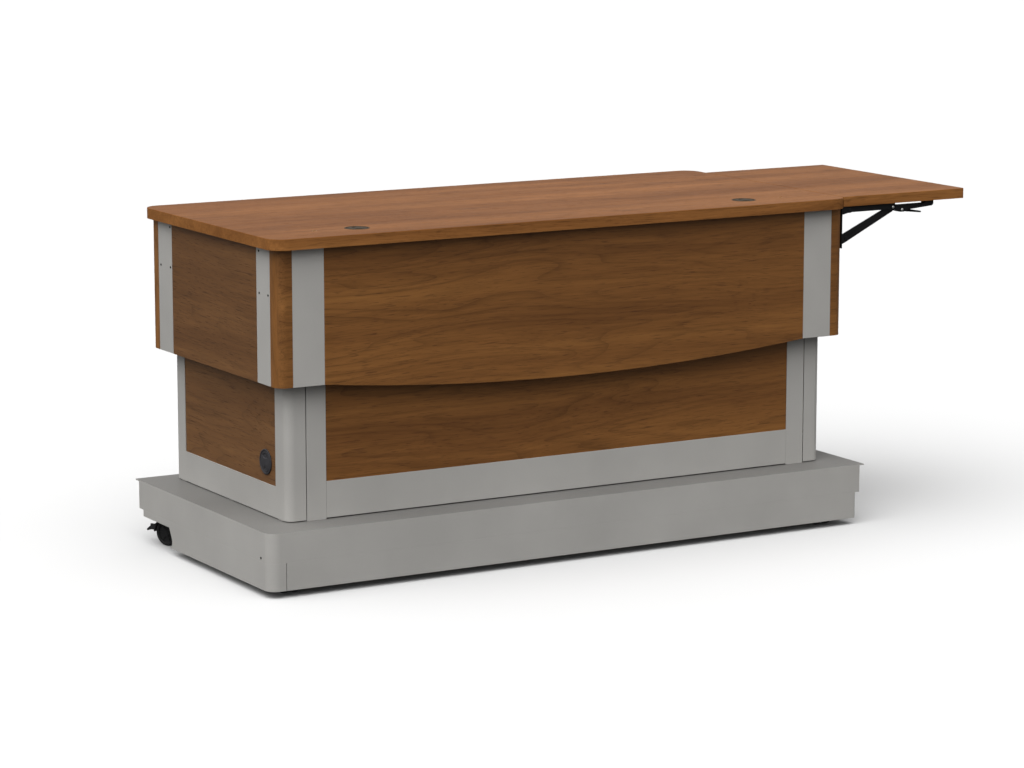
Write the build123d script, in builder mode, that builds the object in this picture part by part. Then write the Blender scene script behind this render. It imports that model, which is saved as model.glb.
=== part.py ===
from build123d import *
import math
import os

os.makedirs("parts", exist_ok=True)

# Height-adjustable teaching desk: a castered steel plinth, a steel and laminate cabinet, an upper
# box that telescopes over the cabinet on two lift columns, and a fold-down shelf at its right end.
# Millimetres. Origin: centre of the footprint, on the floor. +X to the right end, -Y to the
# audience, +Y to the user, +Z up.

# ---- driving dimensions ----
overall_length = 1989.0
overall_depth = 750.0
worktop_height = 818.0
deck_height = 152.0
deck_length = 1650.0
deck_depth = 739.0
cabinet_length = 1485.0
cabinet_depth = 610.0
cabinet_front_setback = 88.0
cabinet_centre = 832.5
cabinet_height = 596.0
box_stand_off = 38.0
box_depth = 692.0
box_skirt_height = 322.0
worktop_thickness = 26.0
shelf_thickness = 25.0
lift_travel = 250.0
sheet = 2.0
wood_panel = 16.0
running_gap = 0.05

# ---- reference positions worked out from them ----
left = -overall_length / 2
right = overall_length / 2
front = -overall_depth / 2
back = overall_depth / 2
deck = deck_height
centre_x = left + cabinet_centre
cab_x0 = centre_x - cabinet_length / 2
cab_x1 = centre_x + cabinet_length / 2
cab_y0 = front + cabinet_front_setback
cab_y1 = cab_y0 + cabinet_depth
cab_top = deck + cabinet_height
box_x0 = cab_x0 - box_stand_off
box_x1 = cab_x1 + box_stand_off
box_y0 = cab_y0 - box_stand_off
box_y1 = box_y0 + box_depth
box_z0 = deck + box_skirt_height
top_under = worktop_height - worktop_thickness


# ---- drawing helpers, all used inside a part's own block ----
def slab(x0, x1, y0, y1, z0, z1, mode=Mode.ADD):
    """A plain rectangular block between two corners."""
    with BuildSketch(Plane.XY.offset(z0)) as outline:
        with Locations(((x0 + x1) / 2, (y0 + y1) / 2)):
            Rectangle(x1 - x0, y1 - y0)
    extrude(outline.sketch, amount=z1 - z0, mode=mode)


def facing_front(y):
    """Plane at depth y whose local axes are world X and Z; a positive extrude goes to +Y."""
    return Plane(origin=(0, y, 0), x_dir=(1, 0, 0), z_dir=(0, -1, 0))


def rod_x(x0, x1, y, z, radius, mode=Mode.ADD):
    """A round bar along X."""
    with BuildSketch(Plane.YZ.offset(x0)) as outline:
        with Locations((y, z)):
            Circle(radius)
    extrude(outline.sketch, amount=x1 - x0, mode=mode)


def rod_y(x, y0, y1, z, radius, mode=Mode.ADD):
    """A round bar along Y."""
    with BuildSketch(facing_front(y0)) as outline:
        with Locations((x, z)):
            Circle(radius)
    extrude(outline.sketch, amount=-(y1 - y0), mode=mode)


def rod_z(x, y, z0, z1, radius, mode=Mode.ADD):
    """A round bar along Z."""
    with BuildSketch(Plane.XY.offset(z0)) as outline:
        with Locations((x, y)):
            Circle(radius)
    extrude(outline.sketch, amount=z1 - z0, mode=mode)


def plate_y(points, y0, y1, mode=Mode.ADD):
    """A flat plate with an outline in X and Z, between two depths."""
    with BuildSketch(facing_front(y0)) as outline:
        with BuildLine() as edge:
            Polyline(*points, close=True)
        make_face(edge.edges())
    extrude(outline.sketch, amount=-(y1 - y0), mode=mode)


def rounded_ring(x0, x1, y0, y1, radii, wall):
    """A closed band with its own corner radius at front-left, front-right, rear-right, rear-left."""
    with BuildSketch(mode=Mode.PRIVATE) as outline:
        with Locations(((x0 + x1) / 2, (y0 + y1) / 2)):
            Rectangle(x1 - x0, y1 - y0)
        corners = [(x0, y0), (x1, y0), (x1, y1), (x0, y1)]
        for corner, radius in zip(corners, radii):
            nearest = outline.vertices().sort_by_distance(Vector(corner[0], corner[1], 0))[0]
            fillet(nearest, radius)
    with BuildSketch(mode=Mode.PRIVATE) as inside:
        add(outline.sketch)
        offset(amount=-wall, kind=Kind.INTERSECTION)
    return outline.sketch - inside.sketch


def finish(block, name, pivot=None, heading=0.0):
    """Label a finished piece and write it out, turned about an upright pivot if it has a heading."""
    piece = block.part
    if heading:
        piece = piece.rotate(Axis((pivot[0], pivot[1], 0), (0, 0, 1)), heading)
    piece.label = name
    export_step(piece, f"parts/{name}.step")


# ================= plinth =================
pan_sheet = 3.0
pan_flange = 70.0
pan_corner = 28.0
skirt_bottom = 17.0
skirt_wall = 2.5
lip_right = 24.0
lip_back = 39.0
kick_corner = 5.0
seam = 1.5
seam_at = 42.5
flange_end_right = 13.0
flange_end_back = 19.0
deck_x1 = left + deck_length
deck_y1 = front + deck_depth
kick_x1 = deck_x1 - lip_right
kick_y1 = deck_y1 - lip_back
kick_top = deck - pan_flange
arch_top = 66.0
arch_rise = 31.0
arch_length = 184.0
pedal_sweep = 150.0
frame_channel_w = 50.0
frame_channel_h = 50.0
frame_wall = 3.0
frame_top = deck - pan_sheet
frame_bottom = frame_top - frame_channel_h

with BuildPart() as deck_pan:
    # top sheet, rounded only at the front-left corner
    with BuildSketch(Plane.XY.offset(deck - pan_sheet)) as pan_top:
        with Locations(((left + deck_x1) / 2, (front + deck_y1) / 2)):
            Rectangle(deck_length, deck_depth)
        fillet(pan_top.vertices().sort_by_distance(Vector(left, front, deck - pan_sheet))[0], pan_corner)
    extrude(amount=pan_sheet)
    # folded flange along the front and the left side, open at its two far ends
    with BuildSketch(Plane.XY.offset(kick_top)):
        add(rounded_ring(left, deck_x1, front, deck_y1, (pan_corner, 3, 3, 3), skirt_wall))
    extrude(amount=pan_flange - pan_sheet / 2)
    # cut the flange away along the right side and the back
    slab(deck_x1 - flange_end_right, deck_x1 + 1, front - 1, deck_y1 + 1, kick_top - 1, deck - pan_sheet,
         mode=Mode.SUBTRACT)
    slab(left - 1, deck_x1 + 1, deck_y1 - flange_end_back, deck_y1 + 1, kick_top - 1, deck - pan_sheet,
         mode=Mode.SUBTRACT)
finish(deck_pan, "deck_pan")


def kick_band(x0, x1, y0, y1):
    """The part of the rounded lower skirt band that lies inside one rectangle."""
    band = rounded_ring(left, kick_x1, front, kick_y1,
                        (pan_corner, kick_corner, kick_corner, kick_corner), skirt_wall)
    with BuildSketch(Plane.XY.offset(skirt_bottom)) as region:
        add(band)
        with Locations(((x0 + x1) / 2, (y0 + y1) / 2)):
            Rectangle(x1 - x0, y1 - y0, mode=Mode.INTERSECT)
    extrude(region.sketch, amount=kick_top - skirt_bottom)


def caster_arch(x0, x1):
    """Raise the skirt's bottom edge near the back so that a foot can reach the brake pedal."""
    start = kick_y1 - arch_length
    with BuildSketch(Plane.YZ.offset(x0)) as arch:
        with BuildLine() as edge:
            Polyline((start, skirt_bottom - 1), (start + arch_rise, arch_top), (kick_y1 + 5, arch_top),
                     (kick_y1 + 5, skirt_bottom - 1), close=True)
        make_face(edge.edges())
        fillet(arch.vertices().sort_by_distance(Vector(x0, start + arch_rise, arch_top))[0], 18)
    extrude(arch.sketch, amount=x1 - x0, mode=Mode.SUBTRACT)


wrap_back = 46.0
with BuildPart() as left_skirt:
    kick_band(left - 1, left + seam_at, front - 1, kick_y1 - wrap_back)
    kick_band(left - 1, left + wrap_back + 34, kick_y1 - wrap_back, kick_y1 + 1)
    caster_arch(left - 1, left + 120)
finish(left_skirt, "left_skirt")

with BuildPart() as front_skirt:
    kick_band(left + seam_at + seam, kick_x1 + 1, front - 1, front + wrap_back)
finish(front_skirt, "front_skirt")

with BuildPart() as right_skirt:
    kick_band(kick_x1 - 34, kick_x1 + 1, front + wrap_back + seam, kick_y1 - wrap_back)
    kick_band(kick_x1 - wrap_back - 34, kick_x1 + 1, kick_y1 - wrap_back, kick_y1 + 1)
    caster_arch(kick_x1 - 120, kick_x1 + 1)
    slab(kick_x1 - skirt_wall, kick_x1, front + 34, kick_y1 - 34, kick_top, deck - pan_sheet)
finish(right_skirt, "right_skirt")

with BuildPart() as rear_skirt:
    kick_band(left + wrap_back + 34 + seam, kick_x1 - wrap_back - 34 - seam, kick_y1 - 20, kick_y1 + 1)
    slab(left + 30, kick_x1 - 30, kick_y1 - skirt_wall, kick_y1, kick_top, deck - pan_sheet)
    # both ends are raised so that the brake pedals clear the skirt as the casters swivel
    for corner_x in (left, kick_x1):
        slab(corner_x - pedal_sweep, corner_x + pedal_sweep, kick_y1 - 25, kick_y1 + 2, skirt_bottom - 1, arch_top,
             mode=Mode.SUBTRACT)
finish(rear_skirt, "rear_skirt")

with BuildPart() as base_frame:
    # two long rails and five cross rails of downward channel, welded into one ladder
    rail_y = (front + 40, kick_y1 - 24 - frame_channel_w)
    cross_x = (left + 32, left + 142, centre_x - 20, left + 1478, left + 1554)
    for y in rail_y:
        slab(left + 14, kick_x1 - 14, y, y + frame_channel_w, frame_bottom, frame_top)
    for x in cross_x:
        slab(x, x + 40, front + 42, kick_y1 - 26, frame_bottom, frame_top)
    under_web = frame_top - frame_wall
    for y in rail_y:
        slab(left + 14 + frame_wall, kick_x1 - 14 - frame_wall, y + frame_wall, y + frame_channel_w - frame_wall,
             frame_bottom - 1, under_web, mode=Mode.SUBTRACT)
    for x in cross_x:
        slab(x + frame_wall, x + 40 - frame_wall, rail_y[0] + 10, rail_y[1] + 40, frame_bottom - 1, under_web,
             mode=Mode.SUBTRACT)
finish(base_frame, "base_frame")

# ================= cabinet =================
shell_gap = 2.5
shell_return = 49.0
shell_corner = 20.0
window_side_y0 = front + 147.0
window_side_y1 = front + 640.0
window_side_z0 = deck + 76.0
window_front_x0 = left + 191.0
window_front_x1 = left + 1474.0
window_front_z0 = deck + 89.0
window_top = cab_top - 36.0
stile_seam = 2.2
cap_radius = 30.0
side_cap_y = front + 199.0
side_cap_z = deck + 126.0


def side_shell(outer_x, inward):
    """One folded steel end of the cabinet: a windowed side with a return round each corner."""
    x_lo = min(outer_x, outer_x + inward * shell_return)
    x_hi = max(outer_x, outer_x + inward * shell_return)
    band = rounded_ring(cab_x0, cab_x1, cab_y0, cab_y1, (shell_corner,) * 4, sheet)
    with BuildSketch(Plane.XY.offset(deck + shell_gap)) as region:
        add(band)
        with Locations(((x_lo + x_hi) / 2, (cab_y0 + cab_y1) / 2)):
            Rectangle(x_hi - x_lo, cabinet_depth + 2, mode=Mode.INTERSECT)
    extrude(region.sketch, amount=cabinet_height - shell_gap)
    slab(outer_x - 10, outer_x + 10, window_side_y0, window_side_y1, window_side_z0, window_top,
         mode=Mode.SUBTRACT)
    # packers inside the bottom edge carry the shell on the deck
    inner = outer_x + inward * sheet
    for y in (cab_y0 + 30, (cab_y0 + cab_y1) / 2 - 10, cab_y1 - 50):
        slab(min(inner, inner + inward * 18), max(inner, inner + inward * 18), y, y + 20, deck, deck + 12)


with BuildPart() as left_side_shell:
    side_shell(cab_x0, 1)
finish(left_side_shell, "left_side_shell")

with BuildPart() as right_side_shell:
    side_shell(cab_x1, -1)
finish(right_side_shell, "right_side_shell")

inset_lap = 12.0
inset_thick = 12.0


def side_inset(face_x, inward):
    """The laminate panel behind a side window, bored for its cable cap."""
    a = face_x + inward * sheet
    b = a + inward * inset_thick
    slab(min(a, b), max(a, b), window_side_y0 - inset_lap, window_side_y1 + inset_lap,
         window_side_z0 - inset_lap, window_top + inset_lap)
    rod_x(min(a, b) - 1, max(a, b) + 1, side_cap_y, side_cap_z, cap_radius - 4, mode=Mode.SUBTRACT)


with BuildPart() as left_side_inset:
    side_inset(cab_x0, 1)
finish(left_side_inset, "left_side_inset")

with BuildPart() as right_side_inset:
    side_inset(cab_x1, -1)
finish(right_side_inset, "right_side_inset")

with BuildPart() as side_cable_caps:
    for face_x, inward in ((cab_x0, 1), (cab_x1, -1)):
        a = face_x + inward * sheet
        rod_x(min(a, a - inward * 3), max(a, a - inward * 3), side_cap_y, side_cap_z, cap_radius)
        rod_x(min(a, a + inward * 16), max(a, a + inward * 16), side_cap_y, side_cap_z, cap_radius - 4.2)
    outer_rims = side_cable_caps.edges().filter_by(GeomType.CIRCLE).group_by(Axis.X)
    fillet(outer_rims[0] + outer_rims[-1], 1.2)
finish(side_cable_caps, "side_cable_caps")

stile_x0 = cab_x0 + shell_return + stile_seam
stile_x1 = cab_x1 - shell_return - stile_seam
stile_return = 22.0

with BuildPart() as front_stiles:
    slab(stile_x0, window_front_x0, cab_y0, cab_y0 + sheet, deck, cab_top)
    slab(stile_x0, stile_x0 + sheet, cab_y0, cab_y0 + stile_return, deck, cab_top)
    slab(window_front_x1, stile_x1, cab_y0, cab_y0 + sheet, deck, cab_top)
    slab(stile_x1 - sheet, stile_x1, cab_y0, cab_y0 + stile_return, deck, cab_top)
finish(front_stiles, "front_stiles")

hairline = 0.4
with BuildPart() as front_rails:
    rail_x0 = window_front_x0 + hairline
    rail_x1 = window_front_x1 - hairline
    slab(rail_x0, rail_x1, cab_y0, cab_y0 + sheet, deck + 3, window_front_z0)
    slab(rail_x0, rail_x1, cab_y0, cab_y0 + stile_return, deck + 3, deck + 3 + sheet)
    slab(rail_x0, rail_x1, cab_y0, cab_y0 + sheet, window_top, cab_top)
    slab(rail_x0, rail_x1, cab_y0, cab_y0 + stile_return, cab_top - sheet, cab_top)
finish(front_rails, "front_rails")

with BuildPart() as front_inset:
    slab(window_front_x0 - inset_lap, window_front_x1 + inset_lap, cab_y0 + sheet,
         cab_y0 + sheet + inset_thick, window_front_z0 - inset_lap, window_top + inset_lap)
finish(front_inset, "front_inset")

# ---- back of the cabinet and its two doors ----
door_x0 = left + 190.0
door_x1 = 2 * centre_x - door_x0
door_gap = 2.0
door_z0 = deck + 14.0
door_z1 = deck + 520.0
door_thick = 18.0
door_face = cab_y1
knuckle_radius = 6.0
knuckle_length = 22.0
hinge_pin_radius = 3.0
hinge_y = door_face + knuckle_radius + 0.5
hinge_x_left = door_x0 - 2.0
hinge_x_right = door_x1 + 2.0
hinge_heights = (deck + 80.0, deck + 400.0)
jamb_edge = 10.0

with BuildPart() as rear_frame:
    slab(stile_x0, door_x0 - jamb_edge, cab_y1 - sheet, cab_y1, deck, cab_top)
    slab(door_x1 + jamb_edge, stile_x1, cab_y1 - sheet, cab_y1, deck, cab_top)
    slab(stile_x0, stile_x1, cab_y1 - sheet, cab_y1, door_z1 + 3, cab_top)
    slab(stile_x0, stile_x1, cab_y1 - 26, cab_y1, deck, deck + 11)
    slab(stile_x0, stile_x1, cab_y1 - 30, cab_y1, cab_top - sheet, cab_top)
    # fixed hinge leaves and their outer knuckles
    for hinge_x, toward in ((hinge_x_left, -1), (hinge_x_right, 1)):
        for z in hinge_heights:
            for step in (-1, 1):
                low = z + step * (knuckle_length + 0.4) - knuckle_length / 2
                rod_z(hinge_x, hinge_y, low, low + knuckle_length, knuckle_radius)
                leaf = hinge_x + toward * 24
                slab(min(hinge_x, leaf), max(hinge_x, leaf), cab_y1, cab_y1 + 2.5, low, low + knuckle_length)
                rod_z(hinge_x, hinge_y, low - 1, low + knuckle_length + 1, hinge_pin_radius,
                      mode=Mode.SUBTRACT)
finish(rear_frame, "rear_frame")

with BuildPart() as door_hinge_pins:
    for hinge_x in (hinge_x_left, hinge_x_right):
        for z in hinge_heights:
            reach = 1.5 * knuckle_length + 1
            rod_z(hinge_x, hinge_y, z - reach, z + reach, hinge_pin_radius)
            rod_z(hinge_x, hinge_y, z + reach, z + reach + 3, hinge_pin_radius + 2)
finish(door_hinge_pins, "door_hinge_pins")

latch_z = deck + 478.0
latch_inset = 60.0
latch_shaft = 8.0


def cabinet_door(x0, x1, hinge_x, latch_x):
    """One laminate door with a leaf and centre knuckle at each hinge and a bore for its latch."""
    inner_edge = x0 if hinge_x < x0 else x1
    slab(x0, x1, door_face - door_thick, door_face, door_z0, door_z1)
    rod_y(latch_x, door_face - door_thick - 1, door_face + 1, latch_z, latch_shaft + running_gap,
          mode=Mode.SUBTRACT)
    for z in hinge_heights:
        low = z - knuckle_length / 2
        high = z + knuckle_length / 2
        leaf = inner_edge + (26 if hinge_x < x0 else -26)
        rod_z(hinge_x, hinge_y, low, high, knuckle_radius)
        slab(min(hinge_x, leaf), max(hinge_x, leaf), door_face, door_face + 2.5, low, high)
        rod_z(hinge_x, hinge_y, low - 1, high + 1, hinge_pin_radius + running_gap, mode=Mode.SUBTRACT)


latch_x_left = centre_x - latch_inset
latch_x_right = centre_x + latch_inset

with BuildPart() as left_door:
    cabinet_door(door_x0, centre_x - door_gap / 2, hinge_x_left, latch_x_left)
finish(left_door, "left_door")

with BuildPart() as right_door:
    cabinet_door(centre_x + door_gap / 2, door_x1, hinge_x_right, latch_x_right)
finish(right_door, "right_door")


def door_latch(x, cam_toward):
    """A quarter-turn latch: round rose, finger bar, shaft and an inside cam that lies sideways."""
    rod_y(x, door_face - door_thick - 1, door_face + 0.4, latch_z, latch_shaft)
    rod_y(x, door_face + 0.4, door_face + 6, latch_z, 15)
    slab(x - 5, x + 5, door_face + 6, door_face + 16, latch_z - 14, latch_z + 14)
    tip = x + cam_toward * 62
    slab(min(x, tip), max(x, tip), door_face - door_thick - 4, door_face - door_thick - 0.8,
         latch_z - 8, latch_z + 8)


with BuildPart() as left_latch:
    door_latch(latch_x_left, -1)
finish(left_latch, "left_latch")

with BuildPart() as right_latch:
    door_latch(latch_x_right, 1)
finish(right_latch, "right_latch")

# ---- equipment rack in the left bay, control box, lift columns ----
rack_pitch_x = 465.1
rack_unit = 44.45
rack_units = 10
rack_centre = left + 510.0
rack_z0 = deck + 30.0
rack_rail_web = 30.0
rack_hole = 3.2

with BuildPart() as rack_rails:
    rail_top = rack_z0 + rack_units * rack_unit
    for y in (cab_y1 - 90, cab_y0 + 110):
        for side in (-1, 1):
            hole_x = rack_centre + side * rack_pitch_x / 2
            inner = hole_x - side * 8
            outer = hole_x + side * 14
            slab(min(inner, outer), max(inner, outer), y, y + 2.5, deck, rail_top)
            slab(min(outer, outer - side * 2.5), max(outer, outer - side * 2.5), y - rack_rail_web, y + 2.5,
                 deck, rail_top)
            with BuildSketch(facing_front(y - 1)) as holes:
                for unit in range(rack_units):
                    for offset_z in (6.35, 22.225, 38.1):
                        with Locations((hole_x, rack_z0 + unit * rack_unit + offset_z)):
                            Circle(rack_hole)
            extrude(holes.sketch, amount=-5, mode=Mode.SUBTRACT)
finish(rack_rails, "rack_rails")

with BuildPart() as control_box:
    slab(left + 1150, left + 1400, cab_y0 + sheet + inset_thick, cab_y0 + 70, deck + 420, deck + 545)
    fillet(control_box.edges().filter_by(Axis.Z), 6)
    chamfer(control_box.faces().sort_by(Axis.Z)[-1].edges(), 2)
finish(control_box, "control_box")

column_x = (left + 165.0, 2 * centre_x - left - 165.0)
column_y = (cab_y0 + cab_y1) / 2
column_w = 70.0
column_d = 90.0
column_wall = 3.0
column_outer_top = deck + 560.0
slide_gap = 0.4
inner_w = column_w - 2 * column_wall - 2 * slide_gap
inner_d = column_d - 2 * column_wall - 2 * slide_gap
plate_z = top_under - 30.0
plate_thick = 6.0


def square_tube(x, y, w, d, wall, radius, z0, z1):
    """An upright rounded rectangular tube, open at both ends."""
    with BuildSketch(Plane.XY.offset(z0)) as section:
        with Locations((x, y)):
            RectangleRounded(w, d, radius)
            RectangleRounded(w - 2 * wall, d - 2 * wall, max(radius - wall, 0.8), mode=Mode.SUBTRACT)
    extrude(section.sketch, amount=z1 - z0)


with BuildPart() as outer_columns:
    for x in column_x:
        square_tube(x, column_y, column_w, column_d, column_wall, 6, deck + 8, column_outer_top)
        slab(x - 55, x + 55, column_y - 70, column_y + 70, deck, deck + 8)
finish(outer_columns, "outer_columns")

with BuildPart() as inner_columns:
    for x in column_x:
        square_tube(x, column_y, inner_w, inner_d, 2.5, 3, deck + 60, plate_z - plate_thick)
        slab(x - 50, x + 50, column_y - 60, column_y + 60, plate_z - plate_thick, plate_z)
finish(inner_columns, "inner_columns")

with BuildPart() as column_motors:
    for x, toward in ((column_x[0], 1), (column_x[1], -1)):
        face = x + toward * column_w / 2
        far = face + toward * 46
        slab(min(face, far), max(face, far), column_y - 32, column_y + 32, deck + 8, deck + 62)
        axis_x = face + toward * 23
        rod_z(axis_x, column_y, deck + 62, deck + 170, 21)
finish(column_motors, "column_motors")

# ================= upper box (rides on the columns) =================
worktop_x0 = left + 34.0
worktop_x1 = left + 1613.5
worktop_y0 = front + 29.0
worktop_y1 = back
worktop_corner = 40.0
cap_x = (left + 297.0, left + 1366.5)
cap_y = front + 129.0
insert_x = (left + 189.0, left + 1479.0)
insert_y = front + 133.0
insert_radius = 6.0
insert_thread = 4.0
grommet_rim = 3.0

with BuildPart() as worktop:
    with BuildSketch(Plane.XY.offset(top_under)) as outline:
        with Locations(((worktop_x0 + worktop_x1) / 2, (worktop_y0 + worktop_y1) / 2)):
            Rectangle(worktop_x1 - worktop_x0, worktop_y1 - worktop_y0)
        fillet(outline.vertices(), worktop_corner)
    extrude(amount=worktop_thickness)
    fillet(worktop.faces().sort_by(Axis.Z)[-1].edges(), 1.5)
    for x in cap_x:
        rod_z(x, cap_y, top_under - 1, worktop_height + 1, cap_radius - 4, mode=Mode.SUBTRACT)
        rod_z(x, cap_y, worktop_height - grommet_rim, worktop_height + 1, cap_radius + 0.2, mode=Mode.SUBTRACT)
    for x in insert_x:
        rod_z(x, insert_y, worktop_height - 20, worktop_height + 1, insert_radius, mode=Mode.SUBTRACT)
finish(worktop, "worktop")

with BuildPart() as worktop_grommets:
    for x in cap_x:
        rod_z(x, cap_y, worktop_height - grommet_rim, worktop_height, cap_radius)
        rod_z(x, cap_y, top_under + 6, worktop_height - grommet_rim, cap_radius - 4.1)
    fillet(worktop_grommets.edges().filter_by(GeomType.CIRCLE).group_by(Axis.Z)[-1], 0.8)
finish(worktop_grommets, "worktop_grommets")

with BuildPart() as accessory_inserts:
    for x in insert_x:
        rod_z(x, insert_y, worktop_height - 19.5, worktop_height - 0.3, insert_radius)
        rod_z(x, insert_y, worktop_height - 17, worktop_height + 1, insert_thread, mode=Mode.SUBTRACT)
finish(accessory_inserts, "accessory_inserts")

frame_rail = 30.0
ring_wall = 2.5
ring_inset_x = 18.5
ring_x0 = box_x0 + ring_inset_x
ring_x1 = box_x1 - ring_inset_x
ring_y0 = box_y0 + wood_panel + 1.0
ring_y1 = box_y1 - wood_panel - 1.0

with BuildPart() as top_frame:
    # a ring of downward channel under the worktop, tied across over each column and at the middle
    long_y = (ring_y0, ring_y1 - frame_rail)
    short_x = (ring_x0, column_x[0] - 20, centre_x - 20, column_x[1] - 20, ring_x1 - frame_rail)
    short_w = (frame_rail, 40.0, 40.0, 40.0, frame_rail)
    for y in long_y:
        slab(ring_x0 + 22, ring_x1 - 22, y, y + frame_rail, plate_z, top_under)
    for x, w in zip(short_x, short_w):
        slab(x, x + w, ring_y0 + 22, ring_y1 - 22, plate_z, top_under)
    web_z = top_under - ring_wall
    for y in long_y:
        slab(ring_x0 + 22 + ring_wall, ring_x1 - 22 - ring_wall, y + ring_wall, y + frame_rail - ring_wall,
             plate_z - 1, web_z, mode=Mode.SUBTRACT)
    for x, w in zip(short_x, short_w):
        slab(x + ring_wall, x + w - ring_wall, ring_y0 + 22 + ring_wall, ring_y1 - 22 - ring_wall,
             plate_z - 1, web_z, mode=Mode.SUBTRACT)
finish(top_frame, "top_frame")

post_size = 38.0
post_round = 25.0
rear_post_depth = 45.0
strip = 3.0
strip_front = 79.0
strip_side_front = 70.0
strip_side_rear = 79.0


def corner_post(x0, x1, y0, y1, outer_corner):
    """A laminate post, rounded on its outer upright edge."""
    with BuildSketch(Plane.XY.offset(box_z0)) as section:
        with Locations(((x0 + x1) / 2, (y0 + y1) / 2)):
            Rectangle(x1 - x0, y1 - y0)
        spot = Vector(outer_corner[0], outer_corner[1], box_z0)
        fillet(section.vertices().sort_by_distance(spot)[0], post_round)
    extrude(section.sketch, amount=top_under - box_z0)


with BuildPart() as corner_posts:
    front_post_y1 = box_y0 + post_size - 0.5
    rear_post_y0 = box_y1 - rear_post_depth
    for x_out, x_in in ((box_x0, box_x0 + post_size), (box_x1, box_x1 - post_size)):
        x0 = min(x_out, x_in)
        x1 = max(x_out, x_in)
        corner_post(x0, x1, box_y0, front_post_y1, (x_out, box_y0))
        corner_post(x0, x1, rear_post_y0, box_y1, (x_out, box_y1))
    # notch the posts' tops round the steel ring
    slab(ring_x0 - 0.5, ring_x1 + 0.5, ring_y0 - 0.5, ring_y1 + 0.5, plate_z - 0.5, top_under + 1,
         mode=Mode.SUBTRACT)
    # relieve the rear posts' inner faces where the cabinet slides past
    slab(cab_x0 - 1.5, cab_x1 + 1.5, rear_post_y0 - 1, cab_y1 + 1.5, box_z0 - 1, top_under + 1,
         mode=Mode.SUBTRACT)
finish(corner_posts, "corner_posts")

fascia_x0 = box_x0 + post_size + 2 + strip_front
fascia_x1 = box_x1 - post_size - 2 - strip_front
side_panel_y0 = front_post_y1 + strip_side_front
side_panel_y1 = rear_post_y0 - strip_side_rear
strip_recess = 0.6

with BuildPart() as front_strips:
    for a, b in ((box_x0 + post_size, fascia_x0), (fascia_x1, box_x1 - post_size)):
        slab(a, b, box_y0 + strip_recess, box_y0 + strip_recess + strip, box_z0, top_under)
finish(front_strips, "front_strips")

with BuildPart() as side_strips:
    for x_out, inward in ((box_x0, 1), (box_x1, -1)):
        a = x_out + inward * strip_recess
        b = a + inward * strip
        slab(min(a, b), max(a, b), front_post_y1, side_panel_y0, box_z0, top_under)
        slab(min(a, b), max(a, b), side_panel_y1, rear_post_y0, box_z0, top_under)
finish(side_strips, "side_strips")

with BuildPart() as rear_strips:
    for a, b in ((box_x0 + post_size, fascia_x0), (fascia_x1, box_x1 - post_size)):
        slab(a, b, box_y1 - strip_recess - strip, box_y1 - strip_recess, box_z0, top_under)
finish(rear_strips, "rear_strips")

fascia_sag = 36.0
with BuildPart() as front_fascia:
    # the bottom edge is one long arc that hangs lowest at the middle
    with BuildSketch(facing_front(box_y0)) as outline:
        with BuildLine() as edge:
            ThreePointArc((fascia_x0, box_z0), (centre_x, box_z0 - fascia_sag), (fascia_x1, box_z0))
            Polyline((fascia_x1, box_z0), (fascia_x1, top_under), (fascia_x0, top_under), (fascia_x0, box_z0))
        make_face()
    extrude(amount=-wood_panel)
finish(front_fascia, "front_fascia")


def side_fascia(x_out, inward):
    """The laminate side of the upper box, between its two steel strips."""
    a = x_out
    b = x_out + inward * wood_panel
    slab(min(a, b), max(a, b), side_panel_y0, side_panel_y1, box_z0, top_under)


with BuildPart() as left_fascia:
    side_fascia(box_x0, 1)
finish(left_fascia, "left_fascia")

with BuildPart() as right_fascia:
    side_fascia(box_x1, -1)
finish(right_fascia, "right_fascia")

switch_x = left + 1240.0
switch_w = 92.0
switch_h = 34.0
switch_rim = 3.0
switch_border = 4.5
switch_sink = 13.0
switch_z = top_under - 26.0
sunk_w = switch_w / 2 - switch_border
sunk_h = switch_h / 2 - switch_border

apron_drop = 92.0
with BuildPart() as rear_apron:
    slab(fascia_x0, fascia_x1, box_y1 - wood_panel, box_y1, top_under - apron_drop, top_under)
    slab(switch_x - sunk_w - running_gap, switch_x + sunk_w + running_gap, box_y1 - wood_panel - 1, box_y1 + 1,
         switch_z - sunk_h - running_gap, switch_z + sunk_h + running_gap, mode=Mode.SUBTRACT)
finish(rear_apron, "rear_apron")

screw_head = 4.0
screw_rows = (top_under - 12.0, top_under - 109.0)
with BuildPart() as strip_screws:
    for x_out, outward in ((box_x0, -1), (box_x1, 1)):
        face = x_out - outward * strip_recess
        tip = face + outward * 0.8
        # two in the lower row of each strip, and one in the upper row beside the laminate panel
        for y_a, y_b, inner in ((front_post_y1, side_panel_y0, 1), (side_panel_y1, rear_post_y0, 0)):
            pair = (y_a + 10, y_b - 14)
            for y, z in ((pair[0], screw_rows[1]), (pair[1], screw_rows[1]), (pair[inner], screw_rows[0])):
                rod_x(min(face, tip), max(face, tip), y, z, screw_head)
finish(strip_screws, "strip_screws")

# ---- up and down switch, let into the apron under the worktop's user edge ----
button_radius = 10.0
button_spread = 40.0
button_travel = 2.5
button_proud = 3.5

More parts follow.
